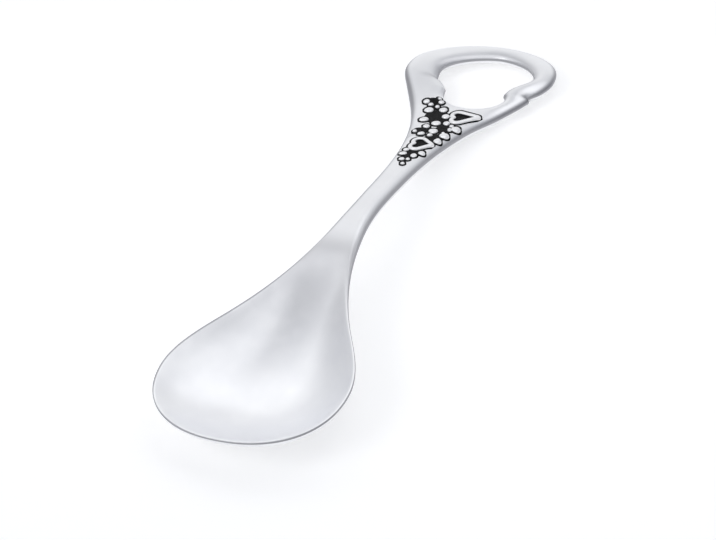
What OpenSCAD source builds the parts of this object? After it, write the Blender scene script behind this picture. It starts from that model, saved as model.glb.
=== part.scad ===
// Baby spoon with an open finger loop and a flower and heart ornament on its yoke.
// Stations run along the spoon from the bowl's tip, at 0, to the end of the loop.

/* [Overall] */
// Length from the bowl's tip to the end of the loop
spoon_len = 120; // [110:1:135]

/* [Bowl] */
// Width of the bowl at its widest
bowl_w = 34.2; // [28:0.2:40]
// Distance from the tip to the widest place
bowl_wide_at = 13.8; // [11:0.2:18]
// Width of the bowl's shoulder, on its way to the stem
shoulder_w = 23.7; // [18:0.1:27]
// Distance from the tip to the shoulder
shoulder_at = 27; // [24:0.5:30]
// Distance from the tip to where the hollow runs out on the stem
hollow_end_at = 47; // [40:0.5:54]
// Thickness of the bowl's metal
bowl_t = 1.2; // [0.8:0.1:1.8]
// Height of the rim's middle line at the tip
tip_h = 6.4; // [4.5:0.1:8]
// Height of the rim's middle line at the widest place
rim_h = 7.8; // [6.6:0.1:9]

/* [Stem] */
// Width of the stem at its narrowest
neck_w = 4.9; // [4:0.1:7]
// Distance from the narrowest place to the flare's middle
neck_back = 29; // [25:0.5:35]
// Thickness of the stem, the yoke and the loop
stem_t = 2.8; // [2.2:0.1:3.6]
// Rounding of the stem's long edges
stem_round = 1; // [0.7:0.1:1.6]
// Height of the stem's middle line at the top of its arch
crest_h = 9; // [8:0.1:12]
// Distance from the top of the arch to the upper end of the flat
crest_back = 19; // [15:0.5:25]

/* [Yoke] */
// Width of the yoke halfway along its flare
flare_w = 11.5; // [10.5:0.1:14]
// Distance from the flare's middle to the end of the loop
flare_back = 29; // [27:0.5:31]
// Width across the two arms at the waist
waist_w = 25; // [22:0.2:28]
// Distance from the waist to the end of the loop
waist_back = 15.9; // [15:0.1:17]
// Length of the yoke's flat top
flat_len = 28.4; // [27:0.2:30]
// Distance from the lower end of the flat to the end of the loop
flat_back = 20.6; // [20:0.1:21.2]
// Height of the middle line at the waist, where the arms end
waist_h = 2.6; // [2:0.05:3.2]
// Height of the middle line at the lower end of the flat
flat_low_h = 1.52; // [1.5:0.02:2]

/* [Loop] */
// Width of the loop at its widest
cap_w = 29.4; // [27:0.2:33]
// Distance from the widest place to the end of the loop
cap_back = 10.7; // [10:0.1:11.5]
// Distance of the loop's outline to the right of the spoon's middle, seen from the bowl
cap_offset = 0.5; // [0:0.1:1]
// Height of the bar's middle line at the widest place
cap_h = 2.9; // [2:0.05:3.6]
// Width of the bar at the end of the loop
bar_w = 4.3; // [3.4:0.1:5]
// Width of the finger gap at the loop's widest place
cap_gap_w = 18.5; // [16.5:0.1:20.5]
// Width of the finger gap at the waist
waist_gap_w = 12.8; // [11:0.2:14.4]
// Length of the finger gap
gap_len = 16.3; // [15.5:0.1:17]
// Distance of the finger gap to the right of the spoon's middle, seen from the bowl
gap_offset = 2; // [0:0.1:2.2]
// Height of the bar's middle line at the end of the loop
loop_end_h = 1.45; // [1.45:0.05:3]

/* [Ornament] */
// Thickness of the blackened bed
bed_t = 0.4; // [0.3:0.05:0.6]
// Margin of the bed round each motif
bed_margin = 0.4; // [0.3:0.05:0.6]
// Height of the petals and hearts above the bed
relief_h = 0.7; // [0.5:0.05:1]
// Radius of the ring of petals in the large blossom
large_ring_r = 2.2; // [2.1:0.05:2.3]
// Length of a petal of the large blossom
large_petal_len = 1.9; // [1.7:0.05:2]
// Width of a petal of the large blossom
large_petal_w = 1.8; // [1.6:0.05:1.9]
// Radius of the ring of petals in a small blossom
small_ring_r = 1.15; // [1.05:0.05:1.25]
// Length of a petal of a small blossom
small_petal_len = 1.3; // [1.1:0.05:1.4]
// Width of a petal of a small blossom
small_petal_w = 1; // [0.8:0.05:1.1]
// Lobe radius of the hearts
heart_lobe_r = 1.3; // [1.2:0.05:1.35]
// Distance of a lobe's centre from the middle of the heart
heart_lobe_x = 1.1; // [0.95:0.05:1.15]
// Length of the upper heart from the line of its lobes to its tip
upper_heart_len = 3.4; // [3:0.1:3.6]
// Length of the lower heart from the line of its lobes to its tip
lower_heart_len = 2.9; // [2.7:0.1:3.1]
// Width of the hearts' frame
heart_bar = 0.7; // [0.5:0.05:0.8]

/* [Hidden] */

// Metal colours
bright_metal = [0.86, 0.87, 0.89];
black_metal = [0.06, 0.06, 0.07];

// Stations from the tip that follow the end of the loop
flare_at = spoon_len - flare_back;
waist_at = spoon_len - waist_back;
cap_at = spoon_len - cap_back;
gap_end_at = spoon_len - bar_w;
gap_at = gap_end_at - gap_len;
flat_to = spoon_len - flat_back;
flat_from = flat_to - flat_len;
crest_at = flat_from - crest_back;
neck_at = flare_at - neck_back;
web_at = (neck_at + waist_at) / 2;

// Slopes of the outline and of the side view, as rise over run
shoulder_slope = 0.594;
flare_slope = 0.336;
waist_slope = 0.59;
gap_slope = 0.6;
rim_slope = 0.09;
flat_slope = 0.18;
waist_rise_slope = 0.2;
cap_rise_slope = 0;
loop_slope = -0.02;

// Roundness of the bowl's front, the loop's end and the gap's end, and fullness of the hollow, as exponents
front_power = 2.2;
cap_power = 2.17;
gap_power = 1.7;
hollow_power = 2.2;

// Rounding of the bar's edges, as a share of its width
bar_round_share = 0.45;
// Share of the crotch's quarter round that faces the stem
crotch_share = 0.15;
// How late the arms' cross sections swing round the crotch, as an exponent
swing_power = 2.2;
// Points across a rounded edge, as shares of its rounding
edge_shares = [0, 0.12, 0.45, 1];

// Counts of the mesh
rays = 16;
cross_steps = 8;
strip_steps = 30;
arm_steps = 12;
cap_steps = 26;
middle_rows = 2;
outline_steps = 24;
heart_steps = 14;
dome_sides = 14;
dome_rings = 3;
rows = 2 * len(edge_shares) + middle_rows - 1;

// Motifs' places on the flat, as shares of its length along it and of its half flare across it
large_place_shares = [0.802, 0.3];
arm_place_shares = [0.944, 0.77];
stem_place_shares = [[0.65, -0.296], [0.515, -0.243]];
upper_heart_shares = [0.835, -0.455];
lower_heart_shares = [0.391, 0.157];
leaf_place_shares = [[0.547, 0.243], [0.647, 0.26], [0.58, -0.575], [0.694, -0.748]];
leaf_turns = [30, 10, -20, -40];
tail_place_shares = [[0.253, 0.174], [0.246, -0.19], [0.186, 0.035], [0.137, -0.087], [0.088, 0.017]];
tail_turns = [20, -25, 15, -10, 0];
// Corners of the bed's spine, which holds the plates under the motifs together, as the same shares
spine_shares = [[0.07, -0.1], [0.3, -0.22], [0.55, -0.3], [0.84, -0.4], [0.95, 0.7],
                [0.78, 0.4], [0.55, 0.28], [0.3, 0.24], [0.07, 0.1]];
// Size of each tail petal against a small blossom's petal
tail_size_shares = [1.2, 1.15, 1.05, 0.9, 0.75];
// Length of a leaf against a small blossom's petal
leaf_len_share = 1.35;
large_petals = 6;
small_petals = 5;

half_t = stem_t / 2;
half_bowl_t = bowl_t / 2;
flat_top_h = flat_low_h + flat_slope * flat_len;

// Stations of the half outline: place, half width, slope
side_stations = [
    [bowl_wide_at, bowl_w / 2, 0],
    [shoulder_at, shoulder_w / 2, -shoulder_slope],
    [neck_at, neck_w / 2, 0],
    [flare_at, flare_w / 2, flare_slope],
    [waist_at, waist_w / 2, waist_slope],
    [cap_at, cap_w / 2, 0]];

// Stations of the side view: place, height of the metal's middle, slope
rise_stations = [
    [0, tip_h, rim_slope],
    [bowl_wide_at, rim_h, rim_slope],
    [crest_at, crest_h, 0],
    [flat_from, flat_top_h, -flat_slope],
    [flat_to, flat_low_h, -flat_slope],
    [waist_at, waist_h, waist_rise_slope],
    [cap_at, cap_h, cap_rise_slope],
    [spoon_len, loop_end_h, loop_slope]];

// Stations of the finger gap's side
gap_stations = [
    [waist_at, waist_gap_w / 2, gap_slope],
    [cap_at, cap_gap_w / 2, 0]];

// Number of the stretch of a station list that holds the place s
function stretch(list, s, i = 0) =
    i >= len(list) - 2 || s <= list[i + 1][0] ? i : stretch(list, s, i + 1);

// Smooth curve through stations of place, value and slope
function curve(list, s) =
    let (i = stretch(list, s), a = list[i], b = list[i + 1], run = b[0] - a[0], u = (s - a[0]) / run)
    a[1] * (1 - 3 * u ^ 2 + 2 * u ^ 3) + b[1] * (3 * u ^ 2 - 2 * u ^ 3)
    + run * (a[2] * (u ^ 3 - 2 * u ^ 2 + u) + b[2] * (u ^ 3 - u ^ 2));

// Eased step from 0 to 1 between two places
function ease(s, from, to) =
    let (u = max(0, min(1, (s - from) / (to - from))))
    3 * u ^ 2 - 2 * u ^ 3;

// Height of the metal's middle line over the table
function rise(s) = curve(rise_stations, s);

// Half thickness of the metal, thin in the bowl and full from the stem on
function half_thick(s) = half_bowl_t + (half_t - half_bowl_t) * ease(s, shoulder_at, neck_at);

// Rounding of the long edges
function edge_round(s) =
    half_bowl_t + (stem_round - half_bowl_t) * ease(s, shoulder_at, neck_at)
    + (bar_round_share * bar_w - stem_round) * ease(s, flare_at, waist_at);

// Front of the outline on one side: angle 90 at the widest place, 0 at the tip
function front_point(angle, side) = [
    bowl_wide_at * (1 - cos(angle) ^ (2 / front_power)),
    side * bowl_w / 2 * sin(angle) ^ (2 / front_power)];

// Outer half outline of the handle's end, from 0 at the web, over 1 at the waist
// and 2 at the widest place, to 3 at the end
function outer_half(p) =
    p <= 1 ? side_point(web_at + p * (waist_at - web_at))
    : p <= 2 ? side_point(waist_at + (p - 1) * (cap_at - waist_at))
    : [cap_at + cap_back * sin(90 * (p - 2)) ^ (2 / cap_power),
       cap_w / 2 * cos(90 * (p - 2)) ^ (2 / cap_power)];
function side_point(s) = [s, curve(side_stations, s)];

// Half outline of the finger gap, from 0 at the crotch to 3 at the loop's end
function gap_half(q) =
    q <= 1 ? [waist_at - (waist_at - gap_at) * cos(90 * q), waist_gap_w / 2 * sin(90 * q)]
    : q <= 2 ? let (s = waist_at + (q - 1) * (cap_at - waist_at)) [s, curve(gap_stations, s)]
    : [cap_at + (gap_end_at - cap_at) * sin(90 * (q - 2)) ^ (2 / gap_power),
       cap_gap_w / 2 * cos(90 * (q - 2)) ^ (2 / gap_power)];

// The two outlines on one side, which is 1 or -1, with their offset
function outer_point(p, side) =
    let (half = outer_half(p))
    [half[0], side * half[1] - cap_offset * ease(half[0], flare_at, cap_at)];
function gap_point(q, side) = [gap_half(q)[0], side * gap_half(q)[1] - gap_offset];

// Place on the gap's outline that faces the place p on the outer one
function facing(p) = p >= 1 ? p : crotch_share + (1 - crotch_share) * p ^ swing_power;

function backwards(list) = [for (i = [len(list) - 1 : -1 : 0]) list[i]];

// Outlines as closed lists of points, to measure how far a place is from an edge
function half_outline(side) =
    let (long = web_at - bowl_wide_at)
    concat(
        [for (i = [0 : outline_steps - 1]) front_point(90 * i / outline_steps, side)],
        [for (i = [0 : outline_steps])
            let (s = bowl_wide_at + long * i / outline_steps) [s, side * curve(side_stations, s)]],
        [for (i = [1 : 3 * outline_steps]) outer_point(i / outline_steps, side)]);
function outline() = concat(half_outline(1), backwards(half_outline(-1)));
function gap_outline() = concat(
    [for (i = [0 : 3 * outline_steps]) gap_point(i / outline_steps, 1)],
    [for (i = [3 * outline_steps : -1 : 0]) gap_point(i / outline_steps, -1)]);

// Distance from a point to a line between two points, and to a list of points
function to_line(p, a, b) =
    let (d = b - a, long = d * d, u = long > 0 ? max(0, min(1, (p - a) * d / long)) : 0)
    norm(p - a - u * d);
function to_list(p, list) =
    min([for (i = [0 : len(list) - 1]) to_line(p, list[i], list[(i + 1) % len(list)])]);

// Quarter round from an edge, where it is 0, to the flat, where it is 1
function round_off(d, r) = sqrt(1 - (1 - min(1, d / r)) ^ 2);

// Drop of the bowl's hollow below the rim, 0 at the rim and 1 at the floor
function hollow(s, v) =
    let (u = max(0, min(1, (s - bowl_wide_at) / (hollow_end_at - bowl_wide_at))))
    (1 - u ^ 2) ^ 2 * (1 - abs(v) ^ hollow_power);

// Point of the top or bottom skin: side is 1 or -1, lift is the share of the half thickness
function skin_point(p, drop, lift, side) =
    let (s = p[0], middle = rise(s) - (rise(s) - half_bowl_t) * drop)
    [s - spoon_len / 2, p[1], middle + side * lift * half_thick(s)];

// Places across the blank, as shares of its half width, rounded edges first
function cross_shares(s, w) =
    let (r = min(edge_round(s), bar_round_share * w) / w,
         near = [for (e = edge_shares) 1 - e * r],
         inner = cross_steps - len(edge_shares) + 1,
         far = [for (i = [1 : inner]) (1 - r) * (1 - i / inner)])
    concat(near, far);

// Rows from the outer edge to the inner edge of a cross section of the given length
function row_places(long, r) =
    let (a = min(r, bar_round_share * long),
         near = [for (e = edge_shares) e * a],
         mid = [for (i = [1 : middle_rows]) a + (long - 2 * a) * i / (middle_rows + 1)],
         far = [for (i = [len(edge_shares) - 1 : -1 : 0]) long - edge_shares[i] * a])
    concat(near, mid, far);

// Closed cross section of the arms and the bar between an outer and an inner point
function bar_section(a, b, edge, gap) =
    let (long = norm(b - a),
         places = row_places(long, edge_round(a[0])),
         flat = [for (d = places) a + (b - a) * d / long],
         lift = [for (i = [0 : rows])
             i == 0 || i == rows ? 0
             : round_off(to_list(flat[i], edge), edge_round(flat[i][0]))
               * round_off(to_list(flat[i], gap), edge_round(flat[i][0]))])
    concat(
        [for (i = [0 : rows]) skin_point(flat[i], 0, lift[i], 1)],
        [for (i = [rows - 1 : -1 : 1]) skin_point(flat[i], 0, lift[i], -1)]);

// Two triangles between four corners, and the same seen from the other side
function quad(a, b, c, d) = [[a, b, c], [a, c, d]];
function quad_back(a, b, c, d) = [[c, b, a], [d, c, a]];

// Joined lists of faces
function flatten(lists) = [for (list = lists) for (item = list) item];

// The blank's points and faces: a fan of rays for the bowl's front, a strip for the rest of
// the bowl and the stem, a web between the arms, and the two arms
module blank_skin() {
    edge = outline();
    gap = gap_outline();
    n = 2 * cross_steps;
    h = cross_steps;
    // strip of cross sections
    places = [for (i = [0 : strip_steps]) bowl_wide_at + (web_at - bowl_wide_at) * i / strip_steps];
    strip = flatten([for (s = places)
        let (w = curve(side_stations, s),
             half = cross_shares(s, w),
             v = concat(half, [for (i = [h - 1 : -1 : 0]) -half[i]]),
             p = [for (x = v) [s, x * w]],
             lift = [for (j = [0 : n])
                 j == 0 || j == n ? 0 : round_off(to_list(p[j], edge), edge_round(s))])
        concat(
            [for (j = [0 : n]) skin_point(p[j], hollow(s, v[j]), lift[j], 1)],
            [for (j = [n - 1 : -1 : 1]) skin_point(p[j], hollow(s, v[j]), lift[j], -1)])]);
    // fan of rays at the front
    centre = [bowl_wide_at, 0];
    shares = [for (k = [0 : h]) cross_shares(bowl_wide_at, bowl_w / 2)[h - k]];
    fan = flatten([for (i = [1 : rays - 1])
        let (turn = 90 - 180 * i / rays,
             side = turn >= 0 ? 1 : -1,
             rim = front_point(abs(turn), side),
             p = [for (k = [0 : h]) centre + shares[k] * (rim - centre)],
             lift = [for (k = [0 : h]) k == h ? 0 : round_off(to_list(p[k], edge), half_bowl_t)])
        concat(
            [for (k = [1 : h]) skin_point(p[k], 1 - shares[k] ^ hollow_power, lift[k], 1)],
            [for (k = [h - 1 : -1 : 1]) skin_point(p[k], 1 - shares[k] ^ hollow_power, lift[k], -1)])]);
    // web between the stem and the crotch
    last = strip_steps * 2 * n;
    w_end = curve(side_stations, web_at);
    half_end = cross_shares(web_at, w_end);
    v_end = concat(half_end, [for (i = [h - 1 : -1 : 0]) -half_end[i]]);
    web = flatten([for (j = [0 : n])
        let (q = crotch_share * (1 - 2 * j / n),
             a = [web_at, v_end[j] * w_end],
             b = gap_point(abs(q), q < 0 ? -1 : 1),
             section = bar_section(a, b, edge, gap))
        [for (i = [1 : 2 * rows - 1]) section[i]]]);
    // arms up to the waist, left then right
    arms = flatten([for (side = [1, -1]) for (k = [1 : arm_steps])
        let (p = k / arm_steps)
        bar_section(outer_point(p, side), gap_point(facing(p), side), edge, gap)]);
    fan_at = len(strip);
    web_first = fan_at + len(fan);
    arm_first = web_first + len(web);
    // numbers of the points
    function ft(i, k) =
        i == 0 ? h - k : i == rays ? h + k : k == 0 ? h : fan_at + (i - 1) * (n - 1) + k - 1;
    function fb(i, k) =
        k == h ? ft(i, h) : i == 0 ? 2 * n - h + k : i == rays ? 2 * n - h - k
        : k == 0 ? 2 * n - h : fan_at + (i - 1) * (n - 1) + n - 1 - k;
    function wt(j, r) = r == 0 ? last + j : web_first + j * (2 * rows - 1) + r - 1;
    function wb(j, r) =
        r == rows ? wt(j, rows)
        : r == 0 ? (j == 0 ? last : last + 2 * n - j)
        : web_first + j * (2 * rows - 1) + 2 * rows - 1 - r;
    function arm(side, k, i) =
        let (m = i % (2 * rows))
        k == 0 ? (m == 0 ? last + side * n : web_first + side * n * (2 * rows - 1) + m - 1)
        : arm_first + (side * arm_steps + k - 1) * 2 * rows + m;
    faces = concat(
        flatten([for (i = [0 : strip_steps - 1]) for (k = [0 : 2 * n - 1])
            let (a = i * 2 * n, b = a + 2 * n, m = (k + 1) % (2 * n))
            quad(a + k, b + k, b + m, a + m)]),
        flatten([for (i = [0 : rays - 1]) for (k = [1 : h - 1])
            concat(quad(ft(i, k), ft(i + 1, k), ft(i + 1, k + 1), ft(i, k + 1)),
                   quad_back(fb(i, k), fb(i + 1, k), fb(i + 1, k + 1), fb(i, k + 1)))]),
        flatten([for (i = [0 : rays - 1])
            [[ft(i, 0), ft(i + 1, 1), ft(i, 1)], [fb(i, 0), fb(i, 1), fb(i + 1, 1)]]]),
        flatten([for (j = [0 : n - 1]) for (r = [0 : rows - 1])
            concat(quad(wt(j, r), wt(j, r + 1), wt(j + 1, r + 1), wt(j + 1, r)),
                   quad_back(wb(j, r), wb(j, r + 1), wb(j + 1, r + 1), wb(j + 1, r)))]),
        flatten([for (k = [0 : arm_steps - 1]) for (i = [0 : 2 * rows - 1])
            concat(quad(arm(0, k, i), arm(0, k + 1, i), arm(0, k + 1, i + 1), arm(0, k, i + 1)),
                   quad_back(arm(1, k, i), arm(1, k + 1, i), arm(1, k + 1, i + 1), arm(1, k, i + 1)))]),
        [[for (i = [2 * rows - 1 : -1 : 0]) arm(0, arm_steps, i)],
         [for (i = [0 : 2 * rows - 1]) arm(1, arm_steps, i)]]);
    polyhedron(concat(strip, fan, web, arms), faces);
}

module spoon_blank() {
    color(bright_metal) blank_skin();
}

// The bar from one arm's end round the loop to the other's
module loop_bar() {
    edge = outline();
    gap = gap_outline();
    sections = flatten([for (i = [0 : 2 * cap_steps])
        let (side = i <= cap_steps ? 1 : -1,
             p = 1 + 2 * (1 - abs(i - cap_steps) / cap_steps))
        bar_section(outer_point(p, side), gap_point(p, side), edge, gap)]);
    ring = 2 * rows;
    faces = flatten([for (k = [0 : 2 * cap_steps - 1]) for (i = [0 : ring - 1])
        let (a = k * ring, b = a + ring, m = (i + 1) % ring)
        quad(a + i, b + i, b + m, a + m)]);
    ends = [[for (i = [0 : ring - 1]) i],
            [for (i = [ring - 1 : -1 : 0]) 2 * cap_steps * ring + i]];
    color(bright_metal) polyhedron(sections, concat(faces, ends));
}

// Frame on the yoke's flat top: x runs down the flat from its upper end, y across, z out of the metal
module on_flat(h = 0) {
    translate([flat_from - spoon_len / 2, 0, flat_top_h + half_t])
        rotate([0, atan(flat_slope), 0])
            translate([0, 0, h])
                children();
}

function place(shares) = [shares[0] * flat_len, shares[1] * flare_w / 2, 0];

// Petal: a low dome on an oval foot
module petal(long, wide, high) {
    points = concat(
        [for (k = [0 : dome_rings - 1]) for (i = [0 : dome_sides - 1])
            let (t = 90 * k / dome_rings, turn = 360 * i / dome_sides)
            [long / 2 * cos(t) * cos(turn), wide / 2 * cos(t) * sin(turn), high * sin(t)]],
        [[0, 0, high]]);
    top = dome_rings * dome_sides;
    sides = flatten([for (k = [0 : dome_rings - 2]) for (i = [0 : dome_sides - 1])
        let (a = k * dome_sides, b = a + dome_sides, m = (i + 1) % dome_sides)
        quad(a + i, b + i, b + m, a + m)]);
    last_ring = top - dome_sides;
    crown = [for (i = [0 : dome_sides - 1]) [last_ring + i, top, last_ring + (i + 1) % dome_sides]];
    foot = [[for (i = [0 : dome_sides - 1]) i]];
    polyhedron(points, concat(sides, crown, foot));
}

// Ring of petals that point outwards
module blossom(count, ring_r, long, wide) {
    for (i = [0 : count - 1])
        rotate([0, 0, 360 * i / count])
            translate([ring_r, 0, 0])
                petal(long, wide, relief_h);
}

// Angle at which a heart's straight side leaves its lobe
function heart_turn(lobe_r, tip_len) =
    atan2(-tip_len, -heart_lobe_x) + acos(lobe_r / norm([heart_lobe_x, tip_len]));

// Heart outline with its tip along -y, drawn a distance inside the full size, or outside it below 0
function heart_outline(tip_len, inset) =
    let (lobe_r = heart_lobe_r - inset,
         tip = tip_len - inset / abs(sin(heart_turn(heart_lobe_r, tip_len))),
         to = heart_turn(lobe_r, tip),
         from = lobe_r > heart_lobe_x ? acos(-heart_lobe_x / lobe_r) : 180,
         turns = [for (i = [0 : heart_steps]) from + (to - from) * i / heart_steps],
         half = [for (turn = turns) [heart_lobe_x + lobe_r * cos(turn), lobe_r * sin(turn)]],
         first = lobe_r >= heart_lobe_x ? 1 : 0)
    concat(half, [[0, -tip]], [for (i = [heart_steps : -1 : first]) [-half[i][0], half[i][1]]]);

// Heart frame: the full heart less the one that lies inside it
module heart_frame(tip_len) {
    linear_extrude(relief_h)
        difference() {
            polygon(heart_outline(tip_len, 0));
            polygon(heart_outline(tip_len, heart_bar));
        }
}

// The black bed: a spine, and a plate under each motif, wider than it by the margin, all run together
module ornament_bed() {
    color(black_metal) on_flat() {
        linear_extrude(bed_t)
            polygon([for (shares = spine_shares) [place(shares)[0], place(shares)[1]]]);
        translate(place(large_place_shares))
            cylinder(bed_t, r = large_ring_r + large_petal_len / 2 + bed_margin, $fn = 64);
        for (shares = concat([arm_place_shares], stem_place_shares))
            translate(place(shares))
                cylinder(bed_t, r = small_ring_r + small_petal_len / 2 + bed_margin, $fn = 48);
        translate(place(upper_heart_shares))
            linear_extrude(bed_t) polygon(heart_outline(upper_heart_len, -bed_margin));
        translate(place(lower_heart_shares))
            linear_extrude(bed_t) polygon(heart_outline(lower_heart_len, -bed_margin));
        for (shares = leaf_place_shares)
            translate(place(shares))
                cylinder(bed_t, r = leaf_len_share * small_petal_len / 2 + bed_margin, $fn = 32);
        for (i = [0 : len(tail_place_shares) - 1])
            translate(place(tail_place_shares[i]))
                cylinder(bed_t, r = tail_size_shares[i] * small_petal_len / 2 + bed_margin, $fn = 32);
    }
}

module large_blossom() {
    color(bright_metal) on_flat(bed_t)
        translate(place(large_place_shares))
            blossom(large_petals, large_ring_r, large_petal_len, large_petal_w);
}

module arm_blossom() {
    color(bright_metal) on_flat(bed_t)
        translate(place(arm_place_shares))
            blossom(small_petals, small_ring_r, small_petal_len, small_petal_w);
}

module stem_blossoms() {
    color(bright_metal) on_flat(bed_t)
        for (shares = stem_place_shares)
            translate(place(shares))
                blossom(small_petals, small_ring_r, small_petal_len, small_petal_w);
}

module upper_heart() {
    color(bright_metal) on_flat(bed_t)
        translate(place(upper_heart_shares))
            heart_frame(upper_heart_len);
}

module lower_heart() {
    color(bright_metal) on_flat(bed_t)
        translate(place(lower_heart_shares))
            heart_frame(lower_heart_len);
}

module leaf_buds() {
    color(bright_metal) on_flat(bed_t)
        for (i = [0 : len(leaf_place_shares) - 1])
            translate(place(leaf_place_shares[i]))
                rotate([0, 0, leaf_turns[i]])
                    petal(leaf_len_share * small_petal_len, small_petal_w, relief_h);
}

module tail_petals() {
    color(bright_metal) on_flat(bed_t)
        for (i = [0 : len(tail_place_shares) - 1])
            translate(place(tail_place_shares[i]))
                rotate([0, 0, tail_turns[i]])
                    petal(tail_size_shares[i] * small_petal_len, tail_size_shares[i] * small_petal_w,
                          tail_size_shares[i] * relief_h);
}

spoon_blank();
loop_bar();
ornament_bed();
large_blossom();
arm_blossom();
stem_blossoms();
upper_heart();
lower_heart();
leaf_buds();
tail_petals();
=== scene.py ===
import math

import bmesh
import bpy
import numpy as np
from mathutils import Matrix, Vector


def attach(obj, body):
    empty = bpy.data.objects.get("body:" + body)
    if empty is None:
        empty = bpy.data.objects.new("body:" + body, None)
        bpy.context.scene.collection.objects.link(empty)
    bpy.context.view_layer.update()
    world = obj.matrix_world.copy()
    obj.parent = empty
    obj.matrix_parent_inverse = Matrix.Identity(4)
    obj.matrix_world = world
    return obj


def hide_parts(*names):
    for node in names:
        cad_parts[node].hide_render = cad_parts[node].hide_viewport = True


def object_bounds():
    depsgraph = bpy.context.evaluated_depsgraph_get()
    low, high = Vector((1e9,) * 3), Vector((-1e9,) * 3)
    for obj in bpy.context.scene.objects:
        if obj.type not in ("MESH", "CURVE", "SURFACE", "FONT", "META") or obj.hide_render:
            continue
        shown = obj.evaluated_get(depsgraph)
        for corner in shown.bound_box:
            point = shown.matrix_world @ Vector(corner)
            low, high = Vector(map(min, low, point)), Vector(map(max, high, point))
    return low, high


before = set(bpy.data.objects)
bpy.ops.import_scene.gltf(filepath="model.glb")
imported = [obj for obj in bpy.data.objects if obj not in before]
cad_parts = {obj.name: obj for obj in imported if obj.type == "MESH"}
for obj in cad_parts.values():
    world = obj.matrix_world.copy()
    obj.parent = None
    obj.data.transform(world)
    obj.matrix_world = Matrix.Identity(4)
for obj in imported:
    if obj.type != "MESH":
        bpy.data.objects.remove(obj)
cad_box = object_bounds()

MM = 0.001
IMAGE_W = 716

# Sizes of the part in millimetres, as in its source
SPOON_LEN = 120.0
BOWL_W = 34.2
BOWL_WIDE_AT = 13.8
SHOULDER_W = 23.7
SHOULDER_AT = 27.0
HOLLOW_END_AT = 47.0
BOWL_T = 1.2
TIP_H = 6.4
RIM_H = 7.8
NECK_W = 4.9
NECK_BACK = 29.0
STEM_T = 2.8
CREST_H = 9.0
CREST_BACK = 19.0
FLARE_W = 11.5
FLARE_BACK = 29.0
WAIST_W = 25.0
WAIST_BACK = 15.9
FLAT_LEN = 28.4
FLAT_BACK = 20.6
WAIST_H = 2.6
FLAT_LOW_H = 1.52
CAP_W = 29.4
CAP_BACK = 10.7
CAP_LEAN = -0.5
CAP_H = 2.9
BAR_W = 4.3
CAP_GAP_W = 18.5
WAIST_GAP_W = 12.8
GAP_LEN = 16.3
GAP_LEAN = -2.0
LOOP_END_H = 1.45

# Places along the spoon and half thicknesses that follow from them
FLARE_AT = SPOON_LEN - FLARE_BACK
WAIST_AT = SPOON_LEN - WAIST_BACK
CAP_AT = SPOON_LEN - CAP_BACK
GAP_END_AT = SPOON_LEN - BAR_W
GAP_AT = GAP_END_AT - GAP_LEN
FLAT_TO = SPOON_LEN - FLAT_BACK
FLAT_FROM = FLAT_TO - FLAT_LEN
CREST_AT = FLAT_FROM - CREST_BACK
NECK_AT = FLARE_AT - NECK_BACK
WEB_AT = (NECK_AT + WAIST_AT) / 2
HALF_T = STEM_T / 2
HALF_BOWL_T = BOWL_T / 2

# Slopes, powers and shares of the outline, as in the part's source
SHOULDER_SLOPE = 0.594
FLARE_SLOPE = 0.336
WAIST_SLOPE = 0.59
GAP_SLOPE = 0.6
RIM_SLOPE = 0.09
FLAT_SLOPE = 0.18
WAIST_RISE_SLOPE = 0.2
LOOP_SLOPE = -0.02
FRONT_POWER = 2.2
CAP_POWER = 2.17
GAP_POWER = 1.7
HOLLOW_POWER = 2.2
SWING_POWER = 2.2
BAR_ROUND_SHARE = 0.45
CROTCH_SHARE = 0.15

# Rounding of the edges, larger than in the part's source
STEM_ROUND = 1.6
BAR_ROUND = 2.6

# Stations of the curves: place along the spoon, value, slope
SIDE_STATIONS = np.array([
    [BOWL_WIDE_AT, BOWL_W / 2, 0],
    [SHOULDER_AT, SHOULDER_W / 2, -SHOULDER_SLOPE],
    [NECK_AT, NECK_W / 2, 0],
    [FLARE_AT, FLARE_W / 2, FLARE_SLOPE],
    [WAIST_AT, WAIST_W / 2, WAIST_SLOPE],
    [CAP_AT, CAP_W / 2, 0]])
RISE_STATIONS = np.array([
    [0, TIP_H, RIM_SLOPE],
    [BOWL_WIDE_AT, RIM_H, RIM_SLOPE],
    [CREST_AT, CREST_H, 0],
    [FLAT_FROM, FLAT_LOW_H + FLAT_SLOPE * FLAT_LEN, -FLAT_SLOPE],
    [FLAT_TO, FLAT_LOW_H, -FLAT_SLOPE],
    [WAIST_AT, WAIST_H, WAIST_RISE_SLOPE],
    [CAP_AT, CAP_H, 0],
    [SPOON_LEN, LOOP_END_H, LOOP_SLOPE]])
GAP_STATIONS = np.array([
    [WAIST_AT, WAIST_GAP_W / 2, GAP_SLOPE],
    [CAP_AT, CAP_GAP_W / 2, 0]])

# The bend from the flat to the loop is eased between these places
EASE_REACH = 5
EASE_OFFSETS = np.linspace(-EASE_REACH, EASE_REACH, 2 * EASE_REACH + 1)
EASE_IN = (88.0, 95.0)
EASE_OUT = (108.0, 114.0)

# Counts of the fine meshes, and the power by which the arms' sections crowd towards the joints
EDGE_STEPS = 8
CROSS_STEPS = 22
STRIP_STEPS = 110
RAYS = 72
ARM_STEPS = 60
ARM_EASE = 0.8
CAP_STEPS = 70
MIDDLE_ROWS = 5
OUTLINE_STEPS = 80
# Places of the rows across a rounded edge, as shares of its width
EDGE_SHARES = 1 - np.cos(np.linspace(0, math.pi / 2, EDGE_STEPS + 1))
# Least sizes: the first two in metres, for welding, and the others in millimetres, for dividing
WELD = 1e-6
SLIVER = WELD / 10
TINY_AREA = 1e-12
TINY_LENGTH = 1e-9
# Name of the value on each vertex that darkens the metal: painted dark reflection and shade on the satin
# metal, black patina on the relief
SHADE_AND_PATINA = "shade_and_patina"


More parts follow.
